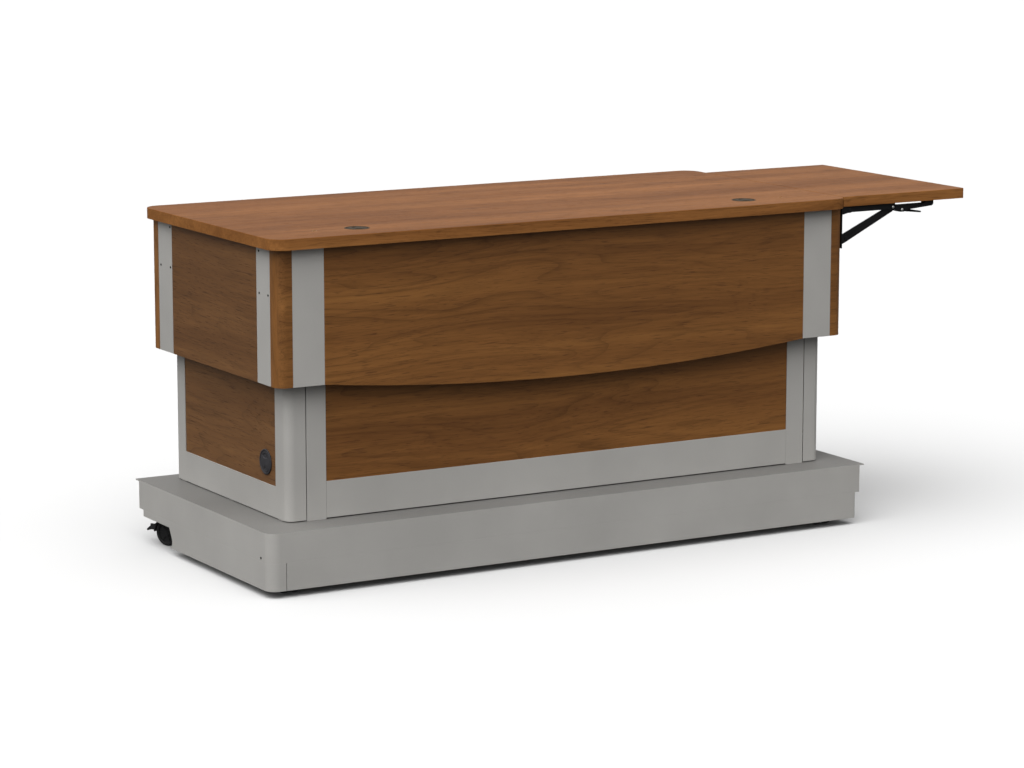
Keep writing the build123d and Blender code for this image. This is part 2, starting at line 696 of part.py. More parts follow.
with BuildPart() as switch_housing:
    slab(switch_x - switch_w / 2, switch_x + switch_w / 2, box_y1, box_y1 + switch_rim,
         switch_z - switch_h / 2, switch_z + switch_h / 2)
    fillet(switch_housing.edges().filter_by(Axis.Y), 5)
    chamfer(switch_housing.faces().sort_by(Axis.Y)[-1].edges(), 1.2)
    slab(switch_x - sunk_w, switch_x + sunk_w, box_y1 - switch_sink, box_y1, switch_z - sunk_h, switch_z + sunk_h)
    for side in (-1, 1):
        rod_y(switch_x + side * button_spread / 2, box_y1 - switch_sink + 3, box_y1 + switch_rim + 1, switch_z,
              button_radius + 0.3, mode=Mode.SUBTRACT)
finish(switch_housing, "switch_housing")

for name, side in (("up_button", -1), ("down_button", 1)):
    with BuildPart() as button:
        x = switch_x + side * button_spread / 2
        rod_y(x, box_y1 - switch_sink + 3 + button_travel + 0.5, box_y1 + switch_rim + button_proud, switch_z,
              button_radius)
        fillet(button.edges().filter_by(GeomType.CIRCLE).group_by(Axis.Y)[-1], 1.2)
    finish(button, name)

# ================= fold-down side shelf and its brackets =================
shelf_x0 = worktop_x1 + 2.0
shelf_x1 = right
shelf_y0 = front + 57.0
shelf_y1 = front + 677.0
shelf_under = worktop_height - shelf_thickness
bracket_y = (front + 60.0, front + 640.0)
leg_width = 22.0
leg_sheet = 2.0
leg_height = 104.0
pivot_x = box_x1 + 23.0
pivot_z = shelf_under - 10.0
brace_foot_x = box_x1 + 14.0
brace_foot_z = shelf_under - 79.0
knee_x = box_x1 + 157.0
knee_z = pivot_z
arm_end_x = box_x1 + 283.0
slot_x0 = box_x1 + 164.0
slot_x1 = box_x1 + 256.0
bracket_pin = 3.0
arm_web = 2.4
lever_x = box_x1 + 186.0
lever_z = shelf_under - 18.5
lever_tip_x = box_x1 + 250.0
lever_tip_z = shelf_under - 28.5
arm_in = 2.8
arm_sheet = 2.2
brace_y = 6.0
brace_thick = 4.5
brace_foot_radius = 11.0
lever_y = 11.5
lever_thick = 4.0

with BuildPart() as side_shelf:
    with BuildSketch(Plane.XY.offset(shelf_under)) as outline:
        with Locations(((shelf_x0 + shelf_x1) / 2, (shelf_y0 + shelf_y1) / 2)):
            Rectangle(shelf_x1 - shelf_x0, shelf_y1 - shelf_y0)
        free_end = outline.vertices().group_by(Axis.X)[-1].sort_by(Axis.Y)
        fillet(free_end[0], 8)
        fillet(free_end[-1], 45)
    extrude(amount=shelf_thickness)
    fillet(side_shelf.faces().sort_by(Axis.Z)[-1].edges(), 1.5)
finish(side_shelf, "side_shelf")

leg_face = box_x1 + leg_sheet
brace_lug = [
    (leg_face, brace_foot_z - 14), (brace_foot_x + 5, brace_foot_z - 7), (brace_foot_x + 6, brace_foot_z + 3),
    (brace_foot_x, brace_foot_z + 8), (leg_face, brace_foot_z + 10)]
arm_lug = [
    (leg_face, pivot_z - 10), (pivot_x - 2, pivot_z - 6), (pivot_x + 5, pivot_z - 3),
    (pivot_x + 5, pivot_z + 5), (pivot_x - 6, shelf_under - 1.2), (leg_face, shelf_under - 1.2)]

with BuildPart() as wall_legs:
    # each leg: a plate on the box side with two pairs of lugs, for the arm pivot and the brace foot
    for y in bracket_y:
        slab(box_x1, box_x1 + leg_sheet, y, y + leg_width, shelf_under - leg_height, top_under - 0.5)
        for ear in (y, y + leg_width - leg_sheet):
            plate_y(brace_lug, ear, ear + leg_sheet)
            plate_y(arm_lug, ear, ear + leg_sheet)
        rod_y(pivot_x, y - 1, y + leg_width + 1, pivot_z, bracket_pin, mode=Mode.SUBTRACT)
        rod_y(brace_foot_x, y - 1, y + leg_width + 1, brace_foot_z, bracket_pin, mode=Mode.SUBTRACT)
finish(wall_legs, "wall_legs")

with BuildPart() as bracket_pins:
    for y in bracket_y:
        for x, z in ((pivot_x, pivot_z), (brace_foot_x, brace_foot_z)):
            rod_y(x, y - 2, y + leg_width + 2, z, bracket_pin)
            rod_y(x, y - 2, y, z, bracket_pin + 1.8)
            rod_y(x, y + leg_width, y + leg_width + 2, z, bracket_pin + 1.8)
finish(bracket_pins, "bracket_pins")

with BuildPart() as shelf_arms:
    for y in bracket_y:
        cheek_y = (y + arm_in, y + leg_width - arm_in - arm_sheet)
        inner_end = pivot_x - 8
        slab(inner_end, slot_x0, cheek_y[0], cheek_y[1] + arm_sheet, shelf_under - arm_web, shelf_under)
        slab(slot_x1, arm_end_x, cheek_y[0], cheek_y[1] + arm_sheet, shelf_under - arm_web, shelf_under)
        cheek = [
            (inner_end, shelf_under), (inner_end, pivot_z - 4), (pivot_x - 3, pivot_z - 7),
            (pivot_x + 4, pivot_z - 7), (pivot_x + 10, shelf_under - 15.5), (knee_x - 18, shelf_under - 15.5),
            (knee_x - 4, shelf_under - 18), (lever_x - 6, shelf_under - 24), (lever_x + 6, shelf_under - 24),
            (lever_x + 22, shelf_under - 19), (arm_end_x - 4, shelf_under - 13.5), (arm_end_x, shelf_under - 10),
            (arm_end_x, shelf_under), (slot_x1, shelf_under), (slot_x1, shelf_under - 6.5),
            (slot_x0, shelf_under - 6.5), (slot_x0, shelf_under)]
        for at in cheek_y:
            plate_y(cheek, at, at + arm_sheet)
            rod_y(pivot_x, at - 1, at + arm_sheet + 1, pivot_z, bracket_pin + running_gap, mode=Mode.SUBTRACT)
        # rivet heads on the front cheek and the stub that carries the release lever
        for x, z in ((knee_x + 1, shelf_under - 10.5), (lever_x, lever_z)):
            rod_y(x, cheek_y[0] - 1, cheek_y[0], z, 3)
        rod_y(lever_x, y + lever_y - 0.6, cheek_y[1] + 0.5, lever_z, 2.5)
finish(shelf_arms, "shelf_arms")

brace_length = math.hypot(knee_x - brace_foot_x, knee_z - brace_foot_z)
brace_angle = math.degrees(math.atan2(knee_z - brace_foot_z, knee_x - brace_foot_x))

with BuildPart() as braces:
    for y in bracket_y:
        plane = Plane(origin=(brace_foot_x, y + brace_y, brace_foot_z),
                      x_dir=(knee_x - brace_foot_x, 0, knee_z - brace_foot_z), z_dir=(0, -1, 0))
        with BuildSketch(plane) as outline:
            with BuildLine() as edge:
                Polyline((0, -brace_foot_radius), (brace_length - 4, -brace_foot_radius), (brace_length + 5, -5),
                         (brace_length + 5.5, 3), (brace_length, 6.2), (0, brace_foot_radius), close=True)
            make_face(edge.edges())
            Circle(brace_foot_radius)
            Circle(bracket_pin + running_gap, mode=Mode.SUBTRACT)
        extrude(outline.sketch, amount=-brace_thick)
finish(braces, "braces")

lever_length = math.hypot(lever_tip_x - lever_x, lever_tip_z - lever_z)
for name, y in (("front_release_lever", bracket_y[0]), ("rear_release_lever", bracket_y[1])):
    with BuildPart() as lever:
        plane = Plane(origin=(lever_x, y + lever_y, lever_z),
                      x_dir=(lever_tip_x - lever_x, 0, lever_tip_z - lever_z), z_dir=(0, -1, 0))
        with BuildSketch(plane) as outline:
            with BuildLine() as edge:
                Polyline((-24, 2.5), (-24, -1), (-4, -5), (lever_length, -2), (lever_length + 1.8, 0),
                         (lever_length, 2), (12, 3.5), (0, 5), close=True)
            make_face(edge.edges())
            Circle(5)
            Circle(2.5 + running_gap, mode=Mode.SUBTRACT)
        extrude(outline.sketch, amount=-lever_thick)
    finish(lever, name)

# ================= casters =================
wheel_radius = 32.0
wheel_width = 14.0
web_half = 6.0
axle_radius = 4.0
axle_z = wheel_radius
trail = 20.0
plate_size = 70.0
caster_plate = 4.0
plate_top = frame_bottom
plate_bottom = plate_top - caster_plate
kingpin_radius = 6.0
kingpin_bottom = plate_bottom - 24.0
hood_inner = wheel_radius + 2.5
hood_outer = hood_inner + 3.0
lug_width = 5.0
pedal_reach = 43.0
pedal_rise = 12.0
pedal_pin = 2.0
rear_caster_back = 74.0

caster_spots = {
    "front_left": (left + 72.0, front + 72.0, -1),
    "front_right": (kick_x1 - 72.0, front + 72.0, -1),
    "rear_left": (left + 58.0, kick_y1 - rear_caster_back, 1),
    "rear_right": (kick_x1 - 58.0, kick_y1 - rear_caster_back, 1),
}

# each caster's own direction at rest, in degrees, anticlockwise from above
caster_headings = {"front_left": 0.0, "front_right": 0.0, "rear_left": 25.0, "rear_right": 0.0}

with BuildPart() as caster_plates:
    for x, y, _ in caster_spots.values():
        low_x = max(x - plate_size / 2, left + 18)
        high_x = min(x + plate_size / 2, kick_x1 - 18)
        slab(low_x, high_x, y - plate_size / 2, y + plate_size / 2, plate_bottom, plate_top)
        rod_z(x, y, kingpin_bottom, plate_bottom, kingpin_radius)
finish(caster_plates, "caster_plates")


def arc_hood(x0, x1, y, start, sweep):
    """A curved cover over the wheels: a thick arc about the axle."""
    with BuildSketch(Plane.YZ.offset(x0)) as section:
        with BuildLine() as edge:
            a0 = math.radians(start)
            a1 = math.radians(start + sweep)
            am = math.radians(start + sweep / 2)
            outer = [(y + hood_outer * math.cos(a), axle_z + hood_outer * math.sin(a)) for a in (a0, am, a1)]
            inner = [(y + hood_inner * math.cos(a), axle_z + hood_inner * math.sin(a)) for a in (a1, am, a0)]
            ThreePointArc(*outer)
            Line(outer[2], inner[0])
            ThreePointArc(*inner)
            Line(inner[2], outer[0])
        make_face(edge.edges())
    extrude(section.sketch, amount=x1 - x0)


for spot, (x, y, toward) in caster_spots.items():
    axle_y = y + toward * trail
    heading = caster_headings[spot]
    half = web_half + wheel_width + 1.0
    with BuildPart() as fork:
        # swivel housing, centre web and hood
        rod_z(x, y, kingpin_bottom - 4, plate_bottom - 0.3, 14)
        rod_z(x, y, plate_bottom - 8, plate_bottom - 0.3, 24)
        slab(x - web_half, x + web_half, min(y - toward * 13, axle_y), max(y - toward * 13, axle_y),
             axle_z + 8, kingpin_bottom)
        rod_x(x - web_half, x + web_half, axle_y, axle_z, 22)
        arc_hood(x - half, x + half, axle_y, 0 if toward > 0 else 62, 118)
        rod_x(x - half - 1, x + half + 1, axle_y, axle_z, axle_radius + running_gap, mode=Mode.SUBTRACT)
        rod_z(x, y, kingpin_bottom - 1, plate_bottom + 1, kingpin_radius + running_gap, mode=Mode.SUBTRACT)
        if toward > 0:
            # lugs and a cross pin on the hood carry the brake pedal
            for a in (x - half, x + half - lug_width):
                slab(a, a + lug_width, axle_y + hood_inner, axle_y + pedal_reach + 5, axle_z + 4, axle_z + 18)
            rod_x(x - half + 1, x + half - 1, axle_y + pedal_reach, axle_z + pedal_rise, pedal_pin)
    finish(fork, f"{spot}_caster_fork", (x, y), heading)

    with BuildPart() as wheels:
        rod_x(x - half + 1, x + half - 1, axle_y, axle_z, axle_radius)
        for a in (x - half + 1, x + web_half + 0.6):
            rod_x(a, a + wheel_width - 0.6, axle_y, axle_z, wheel_radius)
        rims = wheels.edges().filter_by(GeomType.CIRCLE).filter_by(lambda e: abs(e.radius - wheel_radius) < 0.1)
        fillet(rims, 3)
    finish(wheels, f"{spot}_caster_wheels", (x, y), heading)

    if toward > 0:
        with BuildPart() as pedal:
            pivot_y = axle_y + pedal_reach
            pivot_up = axle_z + pedal_rise
            reach = half - lug_width - 0.5
            with BuildSketch(Plane.YZ.offset(x - reach)) as outline:
                with BuildLine() as edge:
                    Polyline((pivot_y - 2, pivot_up - 4.4), (pivot_y + 4, pivot_up - 8),
                             (pivot_y + 20, pivot_up - 14), (pivot_y + 22, pivot_up - 10),
                             (pivot_y + 6, pivot_up + 3), (pivot_y, pivot_up + 4.5), close=True)
                make_face(edge.edges())
                with Locations((pivot_y, pivot_up)):
                    Circle(4.5)
                    Circle(pedal_pin + running_gap, mode=Mode.SUBTRACT)
            extrude(outline.sketch, amount=2 * reach)
        finish(pedal, f"{spot}_brake_pedal", (x, y), heading)
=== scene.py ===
"""Height-adjustable teaching desk: materials, fine detail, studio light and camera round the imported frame."""

import math

import bmesh
import bpy
from mathutils import Matrix, Vector


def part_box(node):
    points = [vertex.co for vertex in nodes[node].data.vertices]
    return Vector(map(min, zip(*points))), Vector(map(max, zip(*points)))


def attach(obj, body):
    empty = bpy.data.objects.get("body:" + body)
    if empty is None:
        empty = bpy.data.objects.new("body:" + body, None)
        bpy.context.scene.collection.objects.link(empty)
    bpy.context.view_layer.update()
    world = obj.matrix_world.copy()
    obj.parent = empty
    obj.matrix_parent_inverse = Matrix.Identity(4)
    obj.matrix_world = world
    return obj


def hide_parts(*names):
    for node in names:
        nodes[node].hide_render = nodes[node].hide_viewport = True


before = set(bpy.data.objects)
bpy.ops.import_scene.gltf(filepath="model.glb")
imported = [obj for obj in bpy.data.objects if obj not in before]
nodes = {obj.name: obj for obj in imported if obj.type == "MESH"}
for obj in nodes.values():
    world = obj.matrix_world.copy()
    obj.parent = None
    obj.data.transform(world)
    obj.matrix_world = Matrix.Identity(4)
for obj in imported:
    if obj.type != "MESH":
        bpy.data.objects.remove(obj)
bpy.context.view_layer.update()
MM = 0.001


# ---------------------------------------------------------------- material building
class Shader:
    """A material whose nodes are made by short calls."""

    def __init__(self, name):
        self.material = bpy.data.materials.new(name)
        self.material.use_nodes = True
        self.tree = self.material.node_tree
        self.surface = self.tree.nodes["Principled BSDF"]

    def node(self, kind, output=0, settings=None, **inputs):
        """Add one node, set or link its inputs, and give back one of its outputs."""
        made = self.tree.nodes.new("ShaderNode" + kind)
        for key, value in (settings or {}).items():
            setattr(made, key, value)
        for key, value in inputs.items():
            self.feed(made, key, value)
        return made.outputs[output]

    def feed(self, made, key, value):
        """Set or link one input, named with underscores, or by number as in_0, in_1."""
        if key.startswith("in_"):
            socket = made.inputs[int(key[3:])]
        else:
            socket = made.inputs[key.replace("_", " ")]
        if isinstance(value, bpy.types.NodeSocket):
            self.tree.links.new(value, socket)
        else:
            socket.default_value = value

    def math(self, operation, a, b=0.0, clamp=False):
        return self.node("Math", settings={"operation": operation, "use_clamp": clamp}, in_0=a, in_1=b)

    def scaled(self, vector, x, y, z):
        """A vector with each axis multiplied by its own factor."""
        return self.node("VectorMath", settings={"operation": "MULTIPLY"}, in_0=vector, in_1=(x, y, z))

    def noise(self, vector, scale=1.0, detail=2.0, roughness=0.5, distortion=0.0):
        return self.node("TexNoise", Vector=vector, Scale=scale, Detail=detail, Roughness=roughness,
                         Distortion=distortion)

    def remap(self, value, low, high, to_low, to_high):
        """A straight-line change of range, held at its ends."""
        return self.node("MapRange", Value=value, From_Min=low, From_Max=high, To_Min=to_low, To_Max=to_high)

    def ramp(self, value, *stops):
        """A colour ramp through (place, colour) stops."""
        made = self.tree.nodes.new("ShaderNodeValToRGB")
        elements = made.color_ramp.elements
        while len(elements) < len(stops):
            elements.new(0.5)
        for element, (place, colour) in zip(elements, stops):
            element.position = place
            element.color = (*colour, 1.0)
        self.tree.links.new(value, made.inputs[0])
        return made.outputs[0]

    def mix(self, factor, a, b, blend="MIX"):
        """Mix or blend two colours."""
        made = self.tree.nodes.new("ShaderNodeMix")
        made.data_type = "RGBA"
        made.blend_type = blend
        for socket, value in ((made.inputs[0], factor), (made.inputs[6], a), (made.inputs[7], b)):
            if isinstance(value, bpy.types.NodeSocket):
                self.tree.links.new(value, socket)
            elif isinstance(value, tuple):
                socket.default_value = (*value, 1.0)
            else:
                socket.default_value = value
        return made.outputs[2]

    def place(self):
        """The point in the piece's own frame, in metres."""
        return self.node("TexCoord", output=3)

    def edge_mask(self, radius, gain):
        """1 on sharp edges, falling to 0 within the given radius."""
        rounded = self.node("Bevel", settings={"samples": 4}, Radius=radius)
        flat = self.node("NewGeometry", output=1)
        along = self.node("VectorMath", output=1, settings={"operation": "DOT_PRODUCT"}, in_0=rounded,
                          in_1=flat)
        return self.math("MULTIPLY", self.math("SUBTRACT", 1.0, along, clamp=True), gain, clamp=True)

    def bump(self, height, distance, strength=1.0):
        return self.node("Bump", Height=height, Distance=distance, Strength=strength)

    def finish(self, colour, roughness, normal=None, metallic=0.0, **fixed):
        """Connect the results to the surface shader."""
        self.feed(self.surface, "Base_Color", colour)
        self.feed(self.surface, "Roughness", roughness)
        self.feed(self.surface, "Metallic", metallic)
        if normal is not None:
            self.feed(self.surface, "Normal", normal)
        for key, value in fixed.items():
            self.feed(self.surface, key, value)
        return self.material


# ---------------------------------------------------------------- the object's materials
WALNUT_DARK = (0.116, 0.046, 0.0118)
WALNUT_MID = (0.160, 0.066, 0.0170)
WALNUT_LIGHT = (0.212, 0.091, 0.0238)


def walnut_colour(shader, along, offset):
    """Printed walnut figure: drifting bands, contour lines of growth rings, fibres and pores."""
    parts = shader.node("SeparateXYZ", Vector=shader.place())
    sockets = parts.node.outputs
    order = {"x": (0, 1, 2), "y": (1, 0, 2), "z": (2, 0, 1)}[along]
    run = sockets[order[0]]
    across = sockets[order[1]]
    other = sockets[order[2]]
    grain = shader.node("CombineXYZ", in_0=shader.math("ADD", run, offset), in_1=across, in_2=other)
    sway = shader.noise(shader.scaled(grain, 1.1, 2.0, 2.0), detail=2.0)
    lift = shader.math("MULTIPLY", shader.math("SUBTRACT", sway, 0.5), 0.07)
    bent = shader.node("VectorMath", settings={"operation": "ADD"}, in_0=grain,
                       in_1=shader.node("CombineXYZ", in_0=0.0, in_1=lift, in_2=lift))
    bands = shader.noise(shader.scaled(bent, 0.7, 13.0, 13.0), detail=3.0, roughness=0.55)
    field = shader.noise(shader.scaled(bent, 0.85, 8.5, 8.5), detail=2.0, roughness=0.40)
    rings = shader.math("FRACT", shader.math("MULTIPLY", field, 17.0))
    ring_line = shader.ramp(rings, (0.0, (0.50,) * 3), (0.12, (0.74,) * 3), (0.50, (1.0,) * 3),
                            (1.0, (0.86,) * 3))
    fibre = shader.noise(shader.scaled(bent, 7.0, 210.0, 210.0), detail=3.0, roughness=0.6)
    pore_noise = shader.noise(shader.scaled(bent, 22.0, 620.0, 620.0), detail=1.0)
    pores = shader.remap(pore_noise, 0.60, 0.70, 0.0, 1.0)
    wood = shader.ramp(bands, (0.28, WALNUT_DARK), (0.50, WALNUT_MID), (0.74, WALNUT_LIGHT))
    ring_share = shader.remap(shader.noise(shader.scaled(grain, 0.8, 3.0, 3.0)), 0.35, 0.65, 0.25, 0.75)
    wood = shader.mix(ring_share, wood, ring_line, "MULTIPLY")
    wood = shader.mix(0.55, wood, shader.ramp(fibre, (0.3, (0.72,) * 3), (0.7, (1.25,) * 3)), "MULTIPLY")
    wood = shader.mix(shader.math("MULTIPLY", pores, 0.45), wood, (0.022, 0.009, 0.004))
    return wood, fibre, pores


def walnut(name, along="x", offset=0.0, specular=0.2, painted_light_tint=(1.0, 1.0, 1.0), painted_edge_highlight=None):
    """Satin walnut laminate with its grain along one axis, a multiplied tint that paints light (painted shade
    and a bluish painted sheen) and, on a board, lighter edge faces as a painted highlight.
    """
    shader = Shader(name)
    colour, fibre, pores = walnut_colour(shader, along, offset)
    shade = painted_light_tint
    # Faces that do not point up or down take the edge colour, a painted highlight on the board edges.
    if painted_edge_highlight:
        normal = shader.node("NewGeometry", output=1)
        rise = shader.math("ABSOLUTE", shader.node("SeparateXYZ", output=2, Vector=normal))
        shade = shader.mix(shader.remap(rise, 0.3, 0.7, 0.0, 1.0), painted_edge_highlight, painted_light_tint)
    # Multiplying by the tint paints light into the wood colour: painted shade and painted sheen.
    colour = shader.mix(1.0, colour, shade, "MULTIPLY")
    roughness = shader.math("ADD", shader.remap(fibre, 0.3, 0.7, 0.40, 0.50),
                            shader.math("MULTIPLY", pores, 0.12))
    relief = shader.math("SUBTRACT", shader.math("MULTIPLY", fibre, 0.35), pores)
    return shader.finish(colour, roughness, shader.bump(relief, 0.00012, 0.5), Specular_IOR_Level=specular)


def post_walnut():
    """Walnut on the corner posts: level grain on the faces to the front and back, upright on the rest."""
    shader = Shader("walnut_post")
    level, fibre, pores = walnut_colour(shader, "x", 0.37)
    upright, _, _ = walnut_colour(shader, "z", 0.11)
    normal = shader.node("NewGeometry", output=1)
    facing = shader.math("ABSOLUTE", shader.node("SeparateXYZ", output=1, Vector=normal))
    colour = shader.mix(shader.remap(facing, 0.55, 0.75, 0.0, 1.0), upright, level)
    roughness = shader.remap(fibre, 0.3, 0.7, 0.40, 0.50)
    return shader.finish(colour, roughness, shader.bump(pores, -0.0001, 0.4), Specular_IOR_Level=0.2)


def powder_coat(name, colour, shade=0.06, roughness=0.42, grain=900.0, specular=0.15, painted_top_shade=1.0):
    """Satin powder coat: fine orange peel, faint unevenness, slightly polished edges and, if asked, painted
    shade on the faces that point up.
    """
    shader = Shader(name)
    place = shader.place()
    peel = shader.noise(place, scale=grain, detail=2.0, roughness=0.6)
    clouds = shader.noise(place, scale=5.0, detail=3.0)
    flecks = shader.remap(shader.noise(place, scale=grain * 1.9, detail=0.0), 0.62, 0.75, 0.0, 1.0)
    edges = shader.edge_mask(0.0012, 2.2)
    low = tuple(c * (1 - shade) for c in colour)
    high = tuple(c * (1 + shade) for c in colour)
    paint = shader.ramp(clouds, (0.3, low), (0.7, high))
    paint = shader.mix(shader.math("MULTIPLY", flecks, 0.18), paint, tuple(c * 1.5 for c in colour))
    paint = shader.mix(shader.math("MULTIPLY", edges, 0.30), paint, tuple(min(1.0, c * 1.45) for c in colour))
    # Painted shade: faces that point up are darkened, standing in for the shade that falls on them under the
    # parts above.
    if painted_top_shade < 1.0:
        rise = shader.node("SeparateXYZ", output=2, Vector=shader.node("NewGeometry", output=1))
        painted_top_shade_mask = shader.remap(rise, 0.3, 0.7, 0.0, 1.0)
        paint = shader.mix(painted_top_shade_mask, paint, shader.mix(1.0, paint, (painted_top_shade,) * 3, "MULTIPLY"))
    rough = shader.math("ADD", shader.remap(peel, 0.3, 0.7, roughness - 0.05, roughness + 0.06),
                        shader.math("MULTIPLY", edges, -0.10))
    return shader.finish(paint, rough, shader.bump(peel, 0.00010, 0.45), Specular_IOR_Level=specular)


def bare_metal(name, colour, roughness=0.32, stretch=(1.0, 1.0, 30.0)):
    """Plated or drawn steel with fine drawing lines and dull patches."""
    shader = Shader(name)
    place = shader.place()
    drawn = [900.0 / factor for factor in stretch]
    lines = shader.noise(shader.scaled(place, *drawn), detail=2.0)
    patches = shader.noise(place, scale=38.0, detail=4.0, roughness=0.62)
    edges = shader.edge_mask(0.0008, 2.0)
    low = tuple(c * 0.78 for c in colour)
    metal = shader.ramp(patches, (0.35, low), (0.65, colour))
    metal = shader.mix(shader.math("MULTIPLY", edges, 0.4), metal, tuple(min(1.0, c * 1.3) for c in colour))
    rough = shader.math("ADD", shader.remap(patches, 0.3, 0.7, roughness + 0.10, roughness),
                        shader.remap(lines, 0.3, 0.7, -0.04, 0.05))
    return shader.finish(metal, rough, shader.bump(lines, 0.00006, 0.4), metallic=1.0)


def moulded(name, colour, roughness=0.5, texture=1400.0, depth=0.00008, specular=0.12):
    """Moulded plastic with a spark-eroded texture and faint rubbed edges."""
    shader = Shader(name)
    place = shader.place()
    texture_height = shader.noise(place, scale=texture, detail=1.0)
    scuffs = shader.noise(place, scale=60.0, detail=5.0, roughness=0.7)
    edges = shader.edge_mask(0.0009, 2.0)
    low = tuple(c * 0.85 for c in colour)
    high = tuple(c * 1.15 for c in colour)
    rubbed = tuple(min(1.0, c * 1.8 + 0.01) for c in colour)
    body = shader.ramp(scuffs, (0.35, low), (0.7, high))
    body = shader.mix(shader.math("MULTIPLY", edges, 0.35), body, rubbed)
    rough = shader.remap(scuffs, 0.3, 0.7, roughness - 0.07, roughness + 0.08)
    return shader.finish(body, rough, shader.bump(texture_height, depth, 0.5), Specular_IOR_Level=specular)


WARM_GREY = (0.305, 0.297, 0.282)
MATERIALS = {
    "wood_front": walnut("walnut_front", "x", 0.0),
    "wood_lower": walnut("walnut_lower", "x", 3.1),
    # The top and side walnut tints are painted light: the bluish tint on the tops is a painted sheen, the
    # darker, bluer side tints are painted shade with a painted sheen, and the lighter top edges are a painted
    # highlight.
    "wood_top": walnut("walnut_top", "x", 7.4, 0.02, painted_light_tint=(0.89, 0.88, 1.22), painted_edge_highlight=(1.24, 1.24, 1.45)),
    "wood_side": walnut("walnut_side", "y", 1.7, painted_light_tint=(0.73, 0.80, 1.08)),
    "wood_side_low": walnut("walnut_side_low", "y", 5.2, painted_light_tint=(0.83, 0.94, 1.32)),
    "wood_post": post_walnut(),
    "grey": powder_coat("warm_grey_powder_coat", WARM_GREY, specular=0.1),
    # The deck coat is the warm grey with its upward faces darkened: painted shade for the shade under the box
    # above.
    "deck_grey": powder_coat("deck_powder_coat", WARM_GREY, specular=0.03, painted_top_shade=0.44),
    "black": powder_coat("black_powder_coat", (0.008, 0.008, 0.0085), shade=0.2, roughness=0.38, grain=700.0,
                         specular=0.08),
    "frame_black": powder_coat("frame_black_coat", (0.016, 0.016, 0.017), shade=0.25, roughness=0.5,
                               grain=500.0),
    "zinc": bare_metal("zinc_plate", (0.62, 0.62, 0.60)),
    "brass": bare_metal("turned_brass", (0.60, 0.42, 0.19), roughness=0.28, stretch=(1.0, 1.0, 1.0)),
    "steel_tube": bare_metal("drawn_tube", (0.50, 0.50, 0.50), roughness=0.30),
    "plastic": moulded("dark_plastic", (0.018, 0.018, 0.019)),
    "cap_plastic": moulded("brown_black_plastic", (0.030, 0.022, 0.014), roughness=0.5, specular=0.05),
    "side_cap_plastic": moulded("grey_black_plastic", (0.034, 0.033, 0.036), roughness=0.5, specular=0.08),
    "tread": moulded("wheel_tread", (0.014, 0.014, 0.014), roughness=0.62, texture=500.0, depth=0.0002),
    "button": moulded("button_plastic", (0.42, 0.43, 0.44), roughness=0.35),
}

NODE_MATERIALS = {
    "wood_front": ["front_fascia", "rear_apron"],
    "wood_lower": ["front_inset", "left_door", "right_door"],
    "wood_top": ["worktop", "side_shelf"],
    "wood_side": ["left_fascia", "right_fascia"],
    "wood_side_low": ["left_side_inset", "right_side_inset"],
    "wood_post": ["corner_posts"],
    "deck_grey": ["deck_pan"],
    "grey": ["left_skirt", "front_skirt", "right_skirt", "rear_skirt", "left_side_shell",
             "right_side_shell", "front_stiles", "front_rails", "rear_frame", "front_strips", "side_strips",
             "rear_strips"],
    "black": ["wall_legs", "shelf_arms", "braces", "front_release_lever", "rear_release_lever",
              "bracket_pins"],
    "frame_black": ["base_frame", "top_frame", "outer_columns"],
    "zinc": ["door_hinge_pins", "rack_rails", "left_latch", "right_latch", "strip_screws", "caster_plates"],
    "brass": ["accessory_inserts"],
    "steel_tube": ["inner_columns"],
    "plastic": ["control_box", "column_motors", "switch_housing"],
    "cap_plastic": ["worktop_grommets", "side_cable_caps"],
    "button": ["up_button", "down_button"],
}


def material_for(name):
    """The key of the material that a CAD node wears."""
    for key, members in NODE_MATERIALS.items():
        if name in members:
            return key
    return "tread" if name.endswith("_wheels") else "plastic"


def dress(obj, material):
    """Give an object one material."""
    obj.data.materials.clear()
    obj.data.materials.append(material)


def soften(obj, width, segments=2, angle=32.0):
    """Round the sharp edges of a piece by a small real radius."""
    weld = obj.modifiers.new("weld", "WELD")
    weld.merge_threshold = 0.00002
    bevel = obj.modifiers.new("bevel", "BEVEL")
    bevel.width = width
    bevel.segments = segments
    bevel.limit_method = "ANGLE"
    bevel.angle_limit = math.radians(angle)
    bevel.use_clamp_overlap = True
    bevel.harden_normals = False
    shade = obj.modifiers.new("normals", "WEIGHTED_NORMAL")
    shade.keep_sharp = True


EDGE_RADIUS = {"worktop": 1.2 * MM, "side_shelf": 1.2 * MM, "front_fascia": 0.8 * MM}
for node_name, node in nodes.items():
    dress(node, MATERIALS[material_for(node_name)])
    soften(node, EDGE_RADIUS.get(node_name, 0.4 * MM))

# ---------------------------------------------------------------- shaping helpers
def lathe(shape, profile, place, steps=40):
    """Turn a (radius, height) profile about a local Z axis into a closed solid at a placed frame."""
    rings = []
    for radius, height in profile:
        if radius == 0.0:
            rings.append([shape.verts.new(place @ Vector((0, 0, height)))])
            continue
        angles = [2 * math.pi * i / steps for i in range(steps)]
        rings.append([shape.verts.new(place @ Vector((radius * math.cos(a), radius * math.sin(a), height)))
                      for a in angles])
    for low, high in zip(rings, rings[1:]):
        for i in range(steps):
            j = (i + 1) % steps
            corners = [low[i % len(low)], low[j % len(low)], high[j % len(high)], high[i % len(high)]]
            shape.faces.new(list(dict.fromkeys(corners)))


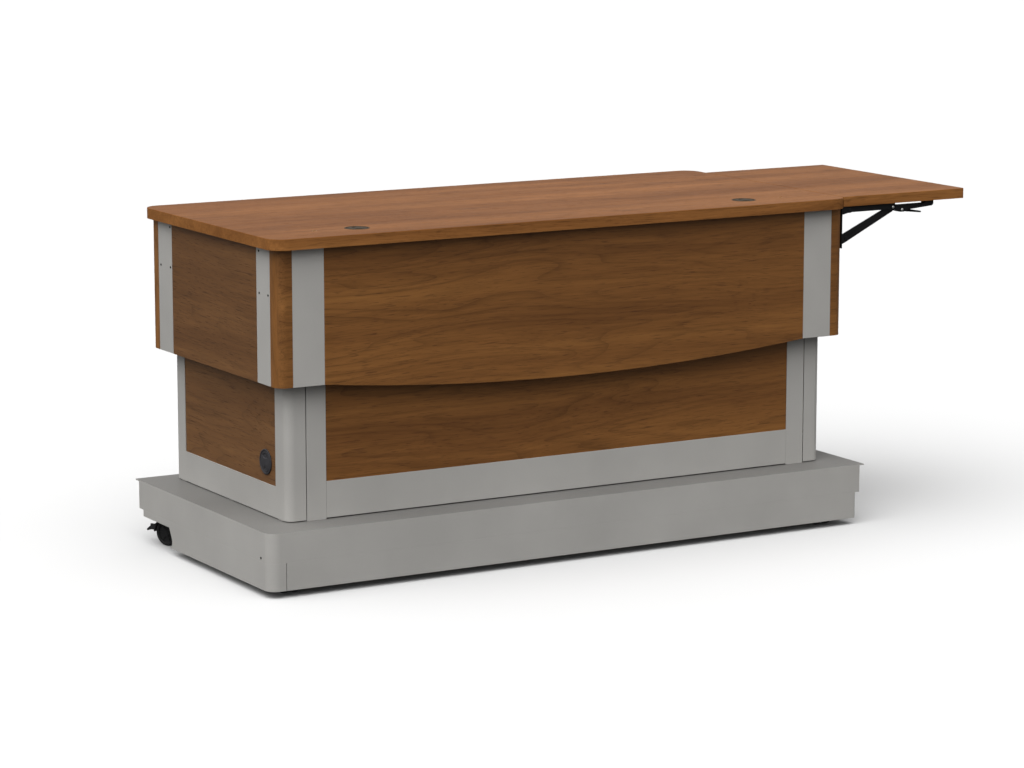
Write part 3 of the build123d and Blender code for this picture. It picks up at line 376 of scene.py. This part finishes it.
def prism(shape, outline, z0, z1, place):
    """Raise a flat outline between two heights of a placed frame."""
    low = [shape.verts.new(place @ Vector((x, y, z0))) for x, y in outline]
    high = [shape.verts.new(place @ Vector((x, y, z1))) for x, y in outline]
    shape.faces.new(low[::-1])
    shape.faces.new(high)
    count = len(outline)
    for i in range(count):
        j = (i + 1) % count
        shape.faces.new((low[i], low[j], high[j], high[i]))


def ngon(radius, sides, centre=(0.0, 0.0), turn=0.0):
    """The corners of a regular polygon."""
    angles = [turn + 2 * math.pi * i / sides for i in range(sides)]
    return [(centre[0] + radius * math.cos(a), centre[1] + radius * math.sin(a)) for a in angles]


def standing_on(point, normal):
    """A frame at a point whose Z axis is a given direction."""
    turn = Vector(normal).to_track_quat("Z", "Y").to_matrix().to_4x4()
    return Matrix.Translation(Vector(point)) @ turn


def mesh_object(name, shape):
    """A smooth-shaded object from an edited mesh, with its hard edges kept."""
    bmesh.ops.recalc_face_normals(shape, faces=shape.faces)
    mesh = bpy.data.meshes.new(name)
    shape.to_mesh(mesh)
    shape.free()
    mesh.polygons.foreach_set("use_smooth", [True] * len(mesh.polygons))
    mesh.set_sharp_from_angle(angle=math.radians(40))
    made = bpy.data.objects.new(name, mesh)
    bpy.context.scene.collection.objects.link(made)
    return made


def cut(obj, cutter):
    """Take one object's volume out of another and remove the cutter."""
    change = obj.modifiers.new("cut", "BOOLEAN")
    change.operation = "DIFFERENCE"
    change.solver = "EXACT"
    change.object = cutter
    baked = bpy.data.meshes.new_from_object(obj.evaluated_get(bpy.context.evaluated_depsgraph_get()))
    obj.modifiers.clear()
    obj.data = baked
    bpy.data.objects.remove(cutter)


def install(obj, material, body, replaced=()):
    """Dress a new piece, let it ride on a body and stand for CAD nodes."""
    dress(obj, MATERIALS[material])
    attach(obj, body)
    if replaced:
        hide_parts(*replaced)


# ---------------------------------------------------------------- cable caps
CAP_RADIUS = 0.030
RIM_RISE = 0.0028
OPEN_MOUTH_DEPTH = 0.010
MARKED_MOUTH_DEPTH = 0.0008


def cable_caps(name, node, spots, seat, mouth_depth, body, material):
    """Round caps with a beaded rim, a let-in lid, a cable mouth cut to a given depth and a finger dimple."""
    shape = bmesh.new()
    mouths = bmesh.new()
    for point, normal in spots:
        place = standing_on(point, normal)
        lathe(shape, [(0, -seat), (0.0258, -seat), (0.0258, -RIM_RISE), (0.0297, -RIM_RISE),
                      (CAP_RADIUS, -0.0006), (0.0296, 0.0), (0.0284, 0.0007), (0.0266, 0.0007), (0.0256, 0.0),
                      (0.0252, -0.0012), (0.0246, -0.0012), (0.0243, -0.0003), (0.0236, 0.0),
                      (0.0060, -0.0001), (0, -0.0001)], place, steps=64)
        half = 0.0095
        bow = [(x, 0.0185 - 0.002 * (x / half) ** 2) for x in (half, half / 2, 0.0, -half / 2, -half)]
        inner = [(-half - 0.0025, 0.0125), (-half, 0.0095), (half, 0.0095), (half + 0.0025, 0.0125)]
        prism(mouths, bow + inner, -mouth_depth, 0.004, place)
        prism(mouths, ngon(0.0048, 20, (0.0, -0.0165)), -0.0012, 0.004, place)
    caps = mesh_object(name, shape)
    cut(caps, mesh_object(name + "_mouths", mouths))
    install(caps, material, body, (node,))


low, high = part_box("worktop_grommets")
cap_y = (low.y + high.y) / 2
cable_caps("cable_cap_tops", "worktop_grommets",
           [((x, cap_y, high.z), (0, 0, 1)) for x in (low.x + CAP_RADIUS, high.x - CAP_RADIUS)],
           0.0195, OPEN_MOUTH_DEPTH, "upper_box", "cap_plastic")
low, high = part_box("side_cable_caps")
cap_y = (low.y + high.y) / 2
cap_z = (low.z + high.z) / 2
cable_caps("cable_cap_sides", "side_cable_caps",
           [((low.x, cap_y, cap_z), (-1, 0, 0)), ((high.x, cap_y, cap_z), (1, 0, 0))],
           0.0180, MARKED_MOUTH_DEPTH, "plinth", "side_cap_plastic")


# ---------------------------------------------------------------- caster wheels
WHEEL_RADIUS = 0.032
WHEEL_WIDTH = 0.0134
AXLE_RADIUS = 0.004
AXLE_HALF = 0.020


def wheel(shape, place):
    """One soft-treaded wheel: crowned tyre, rim step, dished web with ribs and a hub boss, on both faces."""
    half = WHEEL_WIDTH / 2
    face = [(0.0052, half - 0.0006), (0.0086, half - 0.0004), (0.0092, half - 0.0012),
            (0.0098, half - 0.0034), (0.0225, half - 0.0038), (0.0236, half - 0.0008),
            (0.0252, half - 0.0002), (0.0262, half - 0.0008), (0.0270, half), (0.0292, half - 0.0002),
            (0.0308, half - 0.0012), (0.0317, half - 0.0028), (WHEEL_RADIUS, half - 0.0050)]
    lathe(shape, [(0, half - 0.0006)] + face + [(r, -h) for r, h in reversed(face)] + [(0, 0.0006 - half)],
          place, steps=64)
    for index in range(6):
        turned = place @ Matrix.Rotation(index * math.pi / 3, 4, "Z")
        rib = [(0.0090, -0.0009), (0.0230, -0.0007), (0.0230, 0.0007), (0.0090, 0.0009)]
        prism(shape, rib, half - 0.0045, half - 0.0014, turned)
        prism(shape, rib, 0.0014 - half, 0.0045 - half, turned)


def caster_wheels(spot, heading):
    """The twin wheels and axle of one caster, with the axle at its own heading."""
    node = spot + "_caster_wheels"
    low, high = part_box(node)
    middle = (low + high) / 2
    axle = Vector((math.cos(heading), math.sin(heading), 0))
    shape = bmesh.new()
    for side in (-1, 1):
        wheel(shape, standing_on(middle + side * (AXLE_HALF - WHEEL_WIDTH / 2) * axle, side * axle))
    lathe(shape, [(0, -AXLE_HALF), (AXLE_RADIUS - 0.0004, -AXLE_HALF), (AXLE_RADIUS, 0.0006 - AXLE_HALF),
                  (AXLE_RADIUS, AXLE_HALF - 0.0006), (AXLE_RADIUS - 0.0004, AXLE_HALF), (0, AXLE_HALF)],
          standing_on(middle, axle), steps=24)
    install(mesh_object(spot + "_twin_wheels", shape), "tread", spot + "_wheels", (node,))


CASTER_HEADINGS = {"front_left": 0.0, "front_right": 0.0, "rear_left": math.radians(25), "rear_right": 0.0}
for spot, heading in CASTER_HEADINGS.items():
    caster_wheels(spot, heading)


# ---------------------------------------------------------------- screws, rivets and button marks
def socket_screws(name, spots, radius, height, material, body, replaced=()):
    """Low round heads with a bevelled edge and a hexagon socket."""
    heads = bmesh.new()
    sockets = bmesh.new()
    for point, normal in spots:
        place = standing_on(point, normal)
        lathe(heads, [(0, -0.0004), (radius, -0.0004), (radius, height * 0.35),
                      (radius * 0.93, height * 0.75), (radius * 0.75, height), (0, height)], place, steps=28)
        prism(sockets, ngon(radius * 0.46, 6), height * 0.25, height + 0.001, place)
    made = mesh_object(name, heads)
    cut(made, mesh_object(name + "_sockets", sockets))
    install(made, material, body, replaced)


low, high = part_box("strip_screws")
CAD_SCREW_RADIUS = 0.004
CAD_SCREW_HEIGHT = 0.0008
FRONT_PAIR_GAP = 0.046
REAR_PAIR_GAP = 0.055
first_y = low.y + CAD_SCREW_RADIUS
last_y = high.y - CAD_SCREW_RADIUS
row_y = (first_y, first_y + FRONT_PAIR_GAP, last_y - REAR_PAIR_GAP, last_y)
spots = []
for x, outward in ((low.x + CAD_SCREW_HEIGHT, -1), (high.x - CAD_SCREW_HEIGHT, 1)):
    spots += [((x, y, low.z + CAD_SCREW_RADIUS), (outward, 0, 0)) for y in row_y]
    spots += [((x, y, high.z - CAD_SCREW_RADIUS), (outward, 0, 0)) for y in row_y[1:3]]
socket_screws("strip_screw_heads", spots, 0.0028, 0.0010, "black", "upper_box",
              ("strip_screws",))

SKIRT_SCREW_SETBACK = 0.043
SKIRT_SCREW_LIFT = 0.0085
low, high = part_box("deck_pan")
spots = [((low.x, low.y + SKIRT_SCREW_SETBACK, low.z + SKIRT_SCREW_LIFT), (-1, 0, 0))]
socket_screws("skirt_screw_head", spots, 0.0030, 0.0011, "black", "plinth")

ARM_DEPTH = 0.0174
RIVET_RADIUS = 0.0036
RIVET_SINK = 0.0010
low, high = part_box("shelf_arms")
rivets = bmesh.new()
for y in (low.y, high.y - ARM_DEPTH):
    for back_x, down_z in ((0.125, 0.0105), (0.097, 0.0185)):
        place = standing_on((high.x - back_x, y + RIVET_SINK, high.z - down_z), (0, -1, 0))
        lathe(rivets, [(0, -0.0006), (RIVET_RADIUS, -0.0006), (RIVET_RADIUS, 0.0005),
                       (RIVET_RADIUS * 0.86, 0.0013), (RIVET_RADIUS * 0.55, 0.0018), (0, 0.0020)],
              place, steps=24)
install(mesh_object("bracket_rivets", rivets), "zinc", "shelf")

ARROW_RADIUS = 0.0048
ARROW_DISC_RADIUS = 0.0084
for name, body, half_turn in (("up_button", "up_key", 0.0), ("down_button", "down_key", math.pi)):
    low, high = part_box(name)
    middle = (low + high) / 2
    place = standing_on((middle.x, high.y, middle.z), (0, 1, 0))
    upright = place.to_3x3().inverted() @ Vector((0, 0, 1))
    aim = math.atan2(upright.y, upright.x) + half_turn
    arrow = bmesh.new()
    prism(arrow, ngon(ARROW_RADIUS, 3, turn=aim), -0.0003, 0.0005, place)
    prism(arrow, ngon(ARROW_DISC_RADIUS, 40), -0.0004, 0.0001, place)
    install(mesh_object(name + "_arrow", arrow), "plastic", body)

# ---------------------------------------------------------------- floor, light and camera
CAMERA_PLACE = Vector((-4.3371, -7.2485, 1.8372))
CAMERA_AZIMUTH = math.radians(-30.0557)
CAMERA_ELEVATION = math.radians(9.957)
ROOM_ABOVE = 0.62
ROOM_BELOW = 0.12
PATCH_ELEVATION = math.radians(64)
PATCH_LEFT = math.radians(55)
PATCH_EDGE = 0.60
PATCH_CORE = 0.95
PATCH_LIGHT = 4.3


def pale_room():
    """A pale room lit mostly from a broad bright patch high up on the front left."""
    world = bpy.data.worlds.new("studio_room")
    world.use_nodes = True
    tree = world.node_tree
    background = tree.nodes["Background"]
    background.inputs[0].default_value = (1.0,) * 4
    direction = tree.nodes.new("ShaderNodeTexCoord")
    split = tree.nodes.new("ShaderNodeSeparateXYZ")
    toward = tree.nodes.new("ShaderNodeVectorMath")
    toward.operation = "DOT_PRODUCT"
    flat = math.cos(PATCH_ELEVATION)
    toward.inputs[1].default_value = (-math.sin(PATCH_LEFT) * flat, -math.cos(PATCH_LEFT) * flat,
                                      math.sin(PATCH_ELEVATION))
    tree.links.new(direction.outputs["Generated"], split.inputs[0])
    tree.links.new(direction.outputs["Generated"], toward.inputs[0])
    levels = []
    for source, low, high, dim, bright in ((split.outputs[2], -0.05, 0.05, ROOM_BELOW, ROOM_ABOVE),
                                           (toward.outputs[1], PATCH_EDGE, PATCH_CORE, 0.0, PATCH_LIGHT)):
        level = tree.nodes.new("ShaderNodeMapRange")
        for index, value in ((1, low), (2, high), (3, dim), (4, bright)):
            level.inputs[index].default_value = value
        tree.links.new(source, level.inputs[0])
        levels.append(level.outputs[0])
    total = tree.nodes.new("ShaderNodeMath")
    tree.links.new(levels[0], total.inputs[0])
    tree.links.new(levels[1], total.inputs[1])
    tree.links.new(total.outputs[0], background.inputs[1])
    bpy.context.scene.world = world


def soft_box(name, place, target, size, power):
    """A rectangular studio lamp aimed at a point."""
    data = bpy.data.lights.new(name, "AREA")
    data.shape = "RECTANGLE"
    data.size, data.size_y = size
    data.energy = power
    lamp = bpy.data.objects.new(name, data)
    bpy.context.scene.collection.objects.link(lamp)
    lamp.location = place
    lamp.rotation_euler = (Vector(target) - Vector(place)).to_track_quat("-Z", "Y").to_euler()


def studio():
    """A pale seamless floor, a weak overhead soft box, a weak side fill and the pale room."""
    bpy.ops.mesh.primitive_plane_add(size=120.0, location=(0, 0, 0))
    floor = bpy.context.object
    floor.name = "studio_floor"
    paper = Shader("studio_paper")
    fibres = paper.noise(paper.place(), scale=3.0, detail=3.0)
    tone = paper.ramp(fibres, (0.3, (0.481,) * 3), (0.7, (0.483,) * 3))
    dress(floor, paper.finish(tone, 0.9, Specular_IOR_Level=0.1))
    floor.visible_diffuse = False
    floor.visible_glossy = False
    soft_box("overhead", (0.0, -0.5, 3.8), (0.0, 0.0, 0.4), (4.6, 3.6), 12.0)
    soft_box("left_fill", (-5.0, -1.5, 1.6), (0.0, 0.0, 0.5), (2.5, 2.0), 8.0)
    pale_room()
    bpy.context.scene.view_settings.view_transform = "Standard"


def add_camera():
    """The camera at the reference viewpoint, with a long lens."""
    data = bpy.data.cameras.new("camera")
    data.lens = 121.28
    data.sensor_width = 36.0
    data.clip_end = 200.0
    camera = bpy.data.objects.new("camera", data)
    bpy.context.scene.collection.objects.link(camera)
    flat = math.cos(CAMERA_ELEVATION)
    behind = Vector((math.sin(CAMERA_AZIMUTH) * flat, -math.cos(CAMERA_AZIMUTH) * flat,
                     math.sin(CAMERA_ELEVATION)))
    camera.location = CAMERA_PLACE
    camera.rotation_euler = (-behind).to_track_quat("-Z", "Y").to_euler()
    bpy.context.scene.camera = camera


studio()
add_camera()
